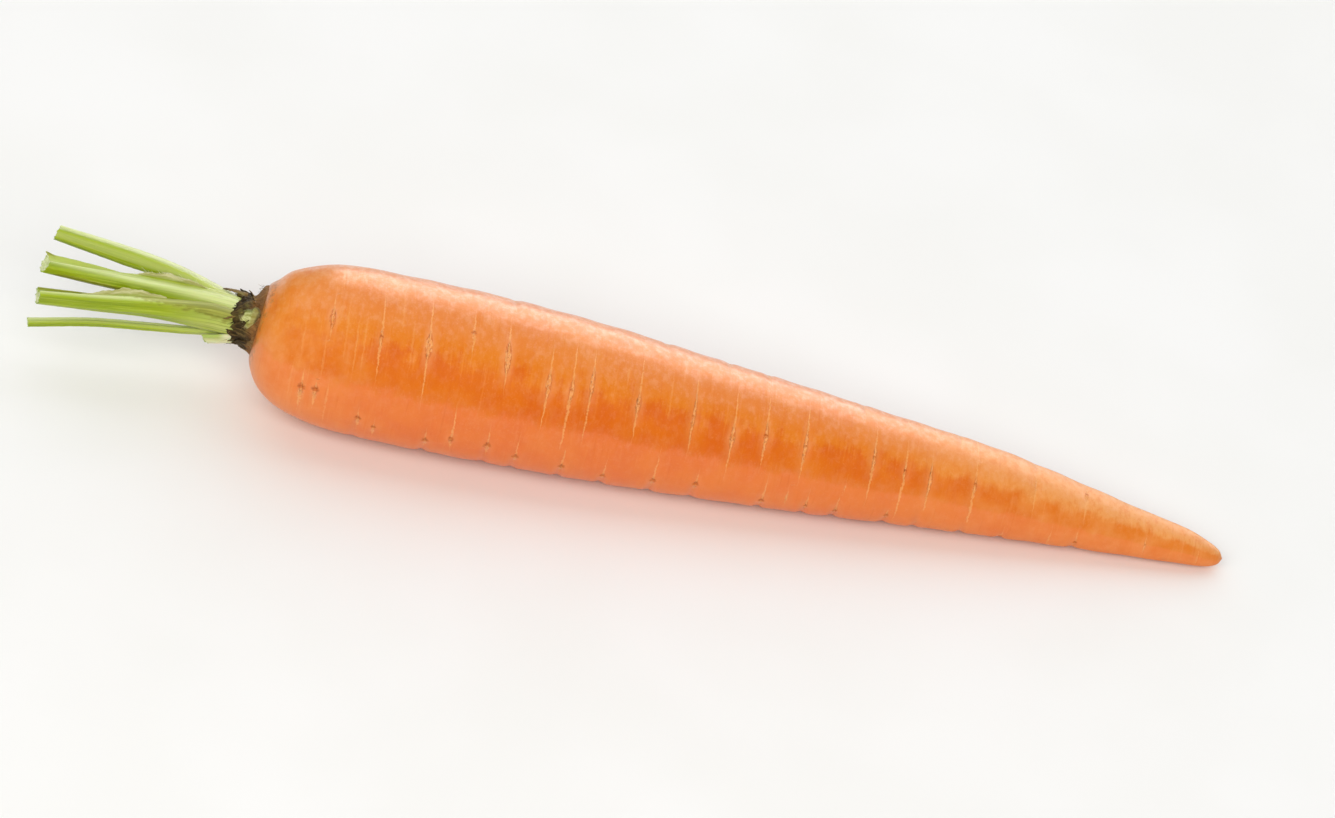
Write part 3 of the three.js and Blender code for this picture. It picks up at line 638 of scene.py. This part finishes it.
def place_on_stalk(stalk, share, sideways, outward, relief=0.0):
    """Points on a stalk's skin: share along it, and the section's unit circle across and outward."""
    shares, path, headings = route_of(stalk["line"])
    middle, heading = (np.stack([np.interp(share, shares, column) for column in rows.T], 1)
                       for rows in (path, headings))
    out = middle[:, 0]
    facing = np.radians(along(stalk["facing"], out))
    back = np.c_[facing * 0, np.cos(facing), np.sin(facing)]
    back -= heading * (back * heading).sum(1)[:, None]
    back /= np.linalg.norm(back, axis=1)[:, None]
    across = np.cross(heading, back)
    half_thickness = along(stalk["thickness"], out) / 2
    side = sideways * along(stalk["width"], out) / 2
    ribs = RIB_HEIGHT * np.cos(RIBS * np.arcsin(np.clip(sideways, -1, 1)))
    opening = np.radians(along(stalk["opening"], out))
    inward = -(sideways * np.sin(opening) + outward * np.cos(opening))
    aside = sideways * np.cos(opening) - outward * np.sin(opening)
    groove = stalk["channel"] * np.exp(-(aside / CHANNEL_WIDTH) ** 2) * np.clip(-inward, 0, 1)
    sheath = stalk["bend"] * side * side * np.clip(1 - out / SHEATH_END, 0, 1)
    depth = outward * half_thickness - sheath
    depth += np.where(outward > 0.1, ribs * outward, 0)
    end = stalk["slant"] * (side + outward * half_thickness) * np.clip(share * 8 - 7, 0, 1)
    side = side - groove * np.sin(opening) + relief * sideways
    depth = depth - groove * np.cos(opening) + relief * outward
    return middle + across * side[:, None] + back * depth[:, None] + heading * end[:, None]


def into_part(points):
    """Points of the head's own frame, in the part's frame."""
    turned = points @ np.array(head_frame.to_3x3()).T + np.array(head_frame.translation)
    return turned - ORIGIN


def stalk_green():
    green = Finish("stalk_green", Specular_IOR_Level=0.4, Subsurface_Weight=0.2,
                   Subsurface_Radius=(0.6, 1.0, 0.2), Subsurface_Scale=0.9 * MM)
    grain = green.attribute("grain")
    out, across, _ = grain.axes()
    fibre = grain.stretched(0.07, 7.0, 7.0).cloud(1.0, 4.0, 0.6)
    broad = grain.stretched(0.05, 1.8, 1.8).cloud(1.0, 2.0)
    speck = green.place.cloud(2.2, 3.0, 0.6)
    rib = (across.math("ARCSINE") * RIBS).math("COSINE")
    green.base = broad.between(0.35, 0.65).paint("#879c08", "#9dae14")
    green.lay(rib.between(0.3, 1.0) * 0.4, "#b4c828")
    green.lay(fibre.between(0.52, 0.72) * 0.5, "#c6d44c")
    green.lay(fibre.between(0.46, 0.30) * 0.5, "#748a06")
    pale = out.between(20.0, 3.0)
    green.lay(pale * (0.45 + 0.4 * fibre), "#cdd67c")
    vein = (across * 26.0 + fibre * 7.0).math("SINE").between(0.45, 1.0)
    green.lay(vein * out.between(15.0, 8.0) * 0.6, "#8c9838")
    edge = abs(across).between(0.86, 0.99)
    green.lay(edge * 0.5, "#d0da80")
    green.lay(speck.between(0.6, 0.8) * 0.12, "#dfe8a4")
    fibre_and_highlight_ridge, olive_patch_and_shade, _ = green.attribute("aspect").axes()
    # A pale stripe along the stalk's upper side: pale fibre with a painted highlight.
    green.lay(fibre_and_highlight_ridge * (0.35 + 0.7 * fibre), "#e4edac")
    # Olive-brown past a turn: on stalk_3 it is painted shade in the hollow under stalk_2.
    olive = fibre.between(0.38, 0.60).paint("#6d6818", "#a5a544")
    olive = (fibre.between(0.56, 0.76) * 0.4).paint(olive, "#cdc78e")
    green.lay((olive_patch_and_shade * (0.5 + 0.4 * fibre)).least(0.85), olive)
    green.feed("Roughness", 0.26 + 0.16 * fibre)
    green.bump(fibre * 0.07 + rib * 0.02 + speck * 0.012)
    return green.material


def cut_pith():
    pith = Finish("cut_pith", Roughness=0.6)
    grain = pith.attribute("grain")
    _, across, outward = grain.axes()
    rim = (across * across + outward * outward) ** 0.5
    dots = pith.node("ShaderNodeTexVoronoi", inputs={
        "Vector": grain.stretched(0.0, 3.0, 3.0), "Scale": 1.0})
    grit = pith.place.cloud(3.5, 3.0, 0.6)
    pith.base = grit.between(0.35, 0.65).paint("#e9edc6", "#cfdc8c")
    pith.lay(dots.between(0.30, 0.12) * rim.between(0.4, 0.6) * 0.7, "#a6b85a")
    pith.lay(rim.between(0.84, 0.95), "#9cb92e")
    pith.bump(grit * 0.12 + dots * 0.08)
    return pith.material


stalk_material, pith_material = stalk_green(), cut_pith()


def make_stalk(name, skin, ragged):
    stalk = STALKS[name]
    shape = bmesh.new()
    bmesh.ops.create_cone(shape, cap_ends=True, segments=STALK_SIDES, radius1=1, radius2=1, depth=1)
    lengthwise = [e for e in shape.edges if abs(e.verts[0].co.z - e.verts[1].co.z) > 0.5]
    bmesh.ops.subdivide_edges(shape, edges=lengthwise, cuts=STALK_STEPS - 1, use_grid_fill=True)
    for end in [face for face in shape.faces if len(face.verts) > 4]:
        for _ in range(CUT_RINGS):
            bmesh.ops.inset_region(shape, faces=[end], thickness=0.85 / CUT_RINGS, use_even_offset=True)
        bmesh.ops.poke(shape, faces=[end])
    for face in shape.faces:
        face.material_index = int(abs(face.calc_center_median().z) > 0.4999)
    blank = points_of(shape)
    sideways, outward, share = blank[:, 0], blank[:, 1], blank[:, 2] + 0.5
    wear = np.array([noise.fractal(Vector((s * 30, 4 * a, 4 * b)), 0.8, 2.0, 3)
                     for s, a, b in np.c_[share, sideways, outward]])
    points = place_on_stalk(stalk, share, sideways, outward, SKIN_WEAR * wear)
    shares, path, _ = route_of(stalk["line"])
    out = np.interp(share, shares, path[:, 0])
    torn = np.array([noise.noise(Vector((5 * a, 5 * b, 7.3))) + 0.6 * noise.noise(
        Vector((11 * a, 11 * b, 2.1))) for a, b in blank[:, :2]])
    points[:, 0] += ragged * torn * np.clip(share * 60 - 59, 0, 1)
    ear_turn, ear_width, ear_length = stalk.get("ear", (0, 1, 0))
    round_ = np.degrees(np.arctan2(sideways, outward)) + along(stalk["facing"], out)
    near_rim = np.clip(np.hypot(sideways, outward) * 4 - 3, 0, 1)
    ear = np.exp(-(turn_from(round_, ear_turn) / ear_width) ** 2) * near_rim
    points += np.outer(ear * np.clip(share * 40 - 39, 0, 1), (1, 0, 0.6)) * ear_length
    move_points(shape, into_part(points))
    for edge in shape.edges:
        edge.smooth = len({face.material_index for face in edge.link_faces}) == 1
    # Past a turn the skin is painted olive-brown: on stalk_3 this is painted shade in the hollow under
    # stalk_2.
    olive_patch_and_shade = np.zeros(len(out))
    if "olive_patch_and_shade" in stalk:
        olive_patch_and_shade = np.clip(turn_from(round_, along(stalk["olive_patch_and_shade"], out)) / 20 + wear, 0, 1)
    # A pale stripe of fibre with a painted highlight along each stalk's upper side.
    highlight_ridge_turn, highlight_ridge_width = stalk.get("fibre_and_highlight_ridge", (90, 30))
    fibre_and_highlight_ridge = np.exp(-(turn_from(round_, highlight_ridge_turn) / highlight_ridge_width) ** 2)
    made = finished("carrot_" + name, shape, [skin, pith_material], {
        "grain": np.c_[out, sideways, outward], "aspect": np.c_[fibre_and_highlight_ridge, olive_patch_and_shade, 0 * olive_patch_and_shade]})
    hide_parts(name)


for number in range(1, 6):
    make_stalk(f"stalk_{number}", stalk_material, CUT_RAGGED)


# --- Torn sheath ----------------------------------------
# The foot of an old leaf that was pulled away: a short pale strip of sheath under the thin stalk,
# thin and ragged at its end.

def pale_sheath():
    pale = Finish("pale_sheath", Subsurface_Weight=0.2, Subsurface_Scale=0.6 * MM)
    grain = pale.attribute("grain")
    out, across, _ = grain.axes()
    fibre = grain.stretched(0.12, 6.0, 6.0).cloud(1.0, 4.0, 0.6)
    pale.base = fibre.between(0.35, 0.7).paint("#d9dfa0", "#f0efcc")
    pale.lay(across.between(0.1, 0.8) * out.between(5.0, 7.0) * 0.8, "#a3ba34")
    pale.feed("Roughness", 0.4 + 0.2 * fibre)
    pale.bump(fibre * 0.08)
    return pale.material


make_stalk("sheath_stub", pale_sheath(), TORN_RAGGED)


# --- Crown ----------------------------------------------
# The collar at the root's head: the dried, fibrous feet of the first leaves, packed in a ring that
# is split into ragged dark scales.

# Rows of (radius, out), from the foot in the root over the rim to the hollow that the stalks fill.
CROWN_OUTLINE = ((0, -3.0), (5.2, -3.0), (6.5, -1.0), (6.55, 0.2), (5.85, 0.9), (5.2, 1.9), (4.8, 3.0),
                 (4.75, 4.1), (4.95, 5.0), (4.3, 5.0), (3.4, 3.4), (0, 3.0))
CROWN_LEAN, HEART_RADIUS, SCALES = 0.14, 3.0, 7
SCALE_RISE, RIM_WAVE, SEAM_DEPTH = 1.5, 0.5, 0.3
CRUST_HEIGHT, RIM_FRAY = 0.28, 0.5
WAIST_DEPTH, WAIST_OUT, WAIST_WIDTH = 1.5, 1.5, 1.1
CROWN_SIDES, CROWN_RINGS = 200, 120


def rim_rise(turn):
    """How far out the collar's torn rim stands: one point for each old leaf."""
    point = 1 - 2 * np.abs((turn / 360 * SCALES + 10.3) % 1 - 0.5)
    return SCALE_RISE * (point - 0.6) + RIM_WAVE * np.sin(np.radians(2 * turn + 40))


def collar_waist(out, angle):
    """How deep the hollow between the collar and the shoulder is, on its upper far side."""
    side = np.maximum(np.cos(angle - math.radians(UPPER_FAR_TURN)), 0)
    return WAIST_DEPTH * side * np.exp(-((out - WAIST_OUT) / WAIST_WIDTH) ** 2)


def dry_husk(name, dark, brown, tan, olive):
    husk = Finish(name, Roughness=0.85)
    grain = husk.attribute("grain")
    fibre = grain.stretched(0.25, 9.0, 9.0).cloud(1.0, 5.0, 0.65)
    patch = husk.place.cloud(0.45, 3.0, 0.5)
    grit = husk.place.cloud(3.0, 3.0, 0.6)
    husk.base = patch.between(0.40, 0.60).paint(dark, brown)
    husk.lay(patch.between(0.54, 0.66) * 0.6, olive)
    husk.lay(fibre.between(0.50, 0.68) * 0.75, tan)
    husk.lay(fibre.between(0.44, 0.30) * 0.6, "#1c1408")
    rust = (husk.place.axes()[0] + 4 * (patch - 0.5)).between(-76.2, -74.0)
    husk.lay(rust * 0.7, fibre.paint("#6e3f1a", "#b87c44"))
    husk.bump(fibre * 0.25 + grit * 0.06)
    return husk.material


husk_material = dry_husk("dry_husk", "#2c2009", "#4d3e1c", "#8d7444", "#6f6a30")


def make_crown():
    shape, ring, angle = ringed_ball(CROWN_SIDES, CROWN_RINGS)
    outline = np.array(CROWN_OUTLINE, float)
    spent = np.r_[0, np.cumsum(np.linalg.norm(np.diff(outline, axis=0), axis=1))]
    stations = np.linspace(0, spent[-1], CROWN_RINGS + 1)
    plain, level_out = (np.interp(stations, spent, column)[ring] for column in outline.T)
    turn = np.degrees(angle)
    outside = plain > HEART_RADIUS
    out = level_out + outside * np.clip((level_out - 1.5) / 3.5, 0, 1) * rim_rise(turn)
    seams = np.abs(np.cos(np.radians(turn * SCALES / 2 + 54))) - 0.5
    rough = np.array([noise.fractal(Vector((a * 0.5, 3 * b, 3 * c)), 0.7, 2.1, 4)
                      for a, b, c in np.c_[out, np.cos(angle) * 2, np.sin(angle) * 2]])
    rises = np.clip(level_out / 2, 0, 1) * SEAM_DEPTH * seams + CRUST_HEIGHT * rough
    radius = plain + outside * (rises - collar_waist(level_out, angle))
    frayed_out = out + RIM_FRAY * rough * outside * (level_out > 3.2)
    move_points(shape, into_part(np.c_[
        frayed_out, radius * np.cos(angle), radius * np.sin(angle) - CROWN_LEAN * out]))
    made = finished("carrot_crown", shape, [husk_material], {
        "grain": np.c_[out, np.cos(angle), np.sin(angle)]})
    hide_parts("crown")


make_crown()


# --- Old leaf bases -------------------------------------
# Thin dry scales left of the outer leaves, torn to points, that lie over the collar one on another.
# One has come away and bares a pale green patch of living tissue.

# Each as: turn, half its width in degrees, where it starts, its length, its skew in degrees, how far
# its tip stands off, and how blunt it is.
DARK_SCALES = (
    (92, 26, -0.3, 6.0, -46, 0.25, 0.5), (4, 24, -0.2, 5.2, 16, 0.35, 0.6),
    (60, 20, 1.8, 3.4, -14, 0.15, 0.8), (30, 18, 2.0, 3.0, 6, 0.1, 0.9),
    (-34, 22, -0.5, 4.6, 10, 0.45, 0.6), (150, 24, -0.4, 4.8, -12, 0.4, 0.6),
    (190, 26, -0.4, 5.4, 14, 0.4, 0.6), (236, 24, -0.4, 4.4, -10, 0.45, 0.6),
    (278, 24, -0.4, 5.0, 12, 0.4, 0.6), (70, 12, -1.0, 3.0, 14, 0.5, 0.8),
    (20, 13, -1.1, 2.4, -12, 0.4, 0.9), (210, 14, -1.1, 2.8, 12, 0.5, 0.9),
)
TAN_SCALES = (
    (112, 9, 3.2, 4.6, 4, 0.1, 0.4), (104, 20, -0.9, 2.9, -6, 0.45, 0.8),
    (-12, 16, -1.0, 2.6, 8, 0.45, 0.9), (126, 16, -0.9, 3.6, 10, 0.5, 0.7),
    (-62, 18, -0.9, 3.2, -8, 0.5, 0.8), (168, 16, -0.9, 3.0, 8, 0.5, 0.8),
    (256, 18, -0.9, 3.4, -6, 0.5, 0.8), (55, 5, 2.8, 3.6, -20, 0.3, 0.4),
)
BARE_PATCH = ((42, 25, 0.7, 3.0, 4, 0.05, 1.2),)
COLLAR = np.array(CROWN_OUTLINE[2:9], float)


def collar_point(out, angle, stand_off):
    """A point that stands off the collar's outside."""
    radius = np.interp(out, COLLAR[:, 1], COLLAR[:, 0]) - collar_waist(out, angle) + stand_off
    return out, radius * math.cos(angle), radius * math.sin(angle) - CROWN_LEAN * out


def thicken(sheet, thickness):
    """Gives a sheet its thickness in mm, half to each side."""
    solid = sheet.modifiers.new("thickness", "SOLIDIFY")
    solid.thickness, solid.offset = thickness * MM, 0


def bent_scales(name, rows, material, thickness, stand_off, foot=0.01, slant=0.0):
    """Curved sheets on the collar, all in one piece. foot is the share of its length over which a
    sheet widens, and slant how much further out one side of it runs."""
    shape = bmesh.new()
    grain = []
    for k, (turn, half, start, length, skew, lift, blunt) in enumerate(rows):
        sheet = bmesh.ops.create_grid(shape, x_segments=18, y_segments=28, size=1)["verts"]
        for vertex in sheet:
            a, b = vertex.co.x, (vertex.co.y + 1) / 2
            torn = noise.fractal(Vector((1.7 * a, 3.0 * b, 9.1 * k + length)), 0.7, 2.2, 4)
            narrow = max(1 - b ** (1.4 + blunt), 0) ** 0.7 * (1 + 0.35 * torn)
            narrow *= min((b + 0.02) / foot, 1) ** 0.5
            angle = math.radians(turn + skew * b + half * a * narrow)
            out = start + length * b + 0.5 * torn * b + slant * a
            curl = lift * b * b + 0.16 * torn - 0.22 * a * a * (1 - b)
            vertex.co = collar_point(out, angle, stand_off + curl)
            grain.append((b * length, a * 1.1, 3.7 * k))
    move_points(shape, into_part(points_of(shape)))
    made = finished(name, shape, [material], {"grain": grain})
    thicken(made, thickness)


def bare_tissue():
    bare = Finish("bare_tissue", Roughness=0.5)
    grain = bare.attribute("grain")
    out, across, _ = grain.axes()
    fibre = grain.stretched(0.5, 2.5, 1.0).cloud(1.0, 4.0, 0.6)
    rim = out.between(2.3, 2.9).most(out.between(0.5, 0.1)).most(abs(across).between(0.75, 1.05))
    bare.base = fibre.between(0.38, 0.62).paint("#8b8c3a", "#cdd08c")
    bare.lay(out.between(1.5, 0.8) * 0.7, "#9c8a44")
    bare.lay(across.between(0.0, 0.9) * out.between(1.2, 2.2) * 0.8, "#56641c")
    bare.lay(rim * 0.85, "#5a4620")
    bare.bump(fibre * 0.06)
    return bare.material


tan_material = dry_husk("tan_husk", "#6a5228", "#92753f", "#cdb582", "#8c8544")
bent_scales("crown_scales_dark", DARK_SCALES, husk_material, 0.22, 0.10)
bent_scales("crown_scales_tan", TAN_SCALES, tan_material, 0.18, 0.18)
bent_scales("crown_bare_patch", BARE_PATCH, bare_tissue(), 0.35, 0.22, foot=0.35, slant=-0.4)


# --- Sheath margins -------------------------------------
# The papery edges of the leaf sheaths: thin beige skin that runs along the stalks above the crown and
# laps over the next stalk.

# Each as: stalk, then rows of (out, turn where it leaves the stalk, turn it leans to, width).
MARGINS = (
    ("stalk_3", ((18, 100, 122, 0.3), (22, 102, 122, 1.1), (26, 104, 122, 1.7), (30, 106, 124, 1.1),
                 (36, 108, 124, 0.1))),
    ("stalk_2", ((10, -14, -44, 0.3), (13, -18, -50, 0.8), (19, -22, -56, 0.8), (24, -26, -50, 0.5),
                 (27, -28, -50, 0.1))),
    ("stalk_2", ((11, 112, 96, 0.2), (14, 114, 98, 1.0), (18, 116, 104, 1.4), (22, 116, 108, 1.0),
                 (25, 116, 110, 0.1))),
)
MARGIN_THICKNESS = 0.14


def papery_margin():
    paper_edge = Finish("papery_margin", Roughness=0.6)
    grain = paper_edge.attribute("grain")
    fibre = grain.stretched(0.25, 3.0, 1.0).cloud(1.0, 4.0, 0.6)
    paper_edge.base = fibre.between(0.35, 0.65).paint("#aaaa60", "#d0cd98")
    paper_edge.lay(grain.axes()[1].between(0.6, 0.0) * 0.8, "#9cae3c")
    paper_edge.bump(fibre * 0.05)
    return paper_edge.material


def margin_points(stalk, rows, a, b):
    """Points of a margin: a from its foot on the stalk to its edge, b along it."""
    rows = np.array(rows, float)
    out = rows[0, 0] + (rows[-1, 0] - rows[0, 0]) * b
    leave, lean, width = (np.interp(out, rows[:, 0], column) for column in rows.T[1:])
    shares, path, _ = route_of(stalk["line"])
    share = np.interp(out, path[:, 0], shares)
    section = np.radians(leave - along(stalk["facing"], out))
    foot = place_on_stalk(stalk, share, np.sin(section), np.cos(section), -0.12)
    ruffle = 0.08 * np.sin(out * 1.7 + a) + 0.04 * np.sin(out * 5.3)
    lean = np.radians(lean) + 0.25 * a * np.sin(out * 1.1)
    way = np.c_[0 * lean, np.cos(lean), np.sin(lean)]
    return foot + way * (a * width * (1 + ruffle))[:, None]


def make_margins():
    shape = bmesh.new()
    grain, points = [], []
    for k, (stalk_name, rows) in enumerate(MARGINS):
        sheet = bmesh.ops.create_grid(shape, x_segments=8, y_segments=110, size=1)["verts"]
        a, b, _ = (np.array([vertex.co[:] for vertex in sheet]).T + 1) / 2
        points.append(margin_points(STALKS[stalk_name], rows, a, b))
        grain.append(np.c_[b * 18, a, a * 0 + 5.3 * k])
    move_points(shape, into_part(np.vstack(points)))
    made = finished("sheath_margins", shape, [papery_margin()], {"grain": np.vstack(grain)})
    thicken(made, MARGIN_THICKNESS)


make_margins()


# --- Hairs and fibres -----------------------------------
# Short white hairs on the top stalk's sheath margin, and the frayed fibres of the collar.

HAIRS, FIBRES, HAIR_WIDTH = 46, 110, 0.055

dice = np.random.default_rng(7)


def hair_template():
    """One straight hair along +X from the origin, 1 long and 1 wide."""
    shape = bmesh.new()
    bmesh.ops.create_cone(shape, cap_ends=True, cap_tris=True, segments=5, radius1=0.5, radius2=0.12,
                          depth=1, matrix=Matrix.Rotation(math.pi / 2, 4, "Y"))
    long_edges = [e for e in shape.edges if abs(e.verts[0].co.x - e.verts[1].co.x) > 0.5]
    bmesh.ops.subdivide_edges(shape, edges=long_edges, cuts=4)
    bmesh.ops.translate(shape, verts=shape.verts, vec=(0.5, 0, 0))
    mesh = bpy.data.meshes.new("hair_template")
    shape.to_mesh(mesh)
    shape.free()
    return mesh


def grow(shape, template, foot, way, length, width, bend):
    """Adds one hair that starts at foot and bends off its way, to a side drawn at random."""
    before = len(shape.verts)
    shape.from_mesh(template)
    shape.verts.ensure_lookup_table()
    way = Vector(way).normalized()
    side = way.orthogonal().normalized()
    other = way.cross(side)
    turn = dice.uniform(0, 2 * math.pi)
    sway = math.cos(turn) * side + math.sin(turn) * other
    for vertex in shape.verts[before:]:
        t, y, z = vertex.co
        vertex.co = Vector(foot) + way * t * length + sway * bend * t * t * length + width * (
            side * y + other * z)


def make_hairs():
    template = hair_template()
    shape = bmesh.new()
    stalk_name, rows = MARGINS[2]
    b = np.sort(dice.uniform(0.12, 0.98, HAIRS))
    for foot in margin_points(STALKS[stalk_name], rows, b * 0 + 0.9, b):
        way = (dice.uniform(0.3, 0.9), dice.uniform(0.2, 0.7), dice.uniform(0.2, 1.0))
        grow(shape, template, foot, way, dice.uniform(0.6, 1.5), HAIR_WIDTH, 0.4)
    move_points(shape, into_part(points_of(shape)))
    white = Finish("white_hair", Roughness=0.6)
    tint = white.place.cloud(1.0, 2.0)
    white.feed("Base Color", tint.paint("#dfe2b4", "#f4f1d8"))
    made = finished("sheath_hairs", shape, [white.material])


def make_fibres():
    template = hair_template()
    shape = bmesh.new()
    for _ in range(FIBRES):
        turn = math.radians(dice.uniform(0, 360))
        foot = collar_point(dice.choice([dice.uniform(-0.9, 1.0), dice.uniform(1.0, 5.2)]), turn, 0.15)
        lift, aside = dice.uniform(0.0, 0.25), dice.uniform(-0.8, 0.8)
        way = (dice.uniform(0.2, 1.0), math.cos(turn) * lift - math.sin(turn) * aside,
               math.sin(turn) * lift + math.cos(turn) * aside)
        grow(shape, template, foot, way, dice.uniform(0.5, 1.5), dice.uniform(0.06, 0.11), 0.3)
    move_points(shape, into_part(points_of(shape)))
    frayed = Finish("frayed_fibre", Roughness=0.8)
    tint = frayed.place.cloud(0.6, 2.0)
    frayed.feed("Base Color", tint.between(0.4, 0.6).paint("#4f3d1e", "#a48b5a"))
    made = finished("crown_fibres", shape, [frayed.material])


make_hairs()
make_fibres()
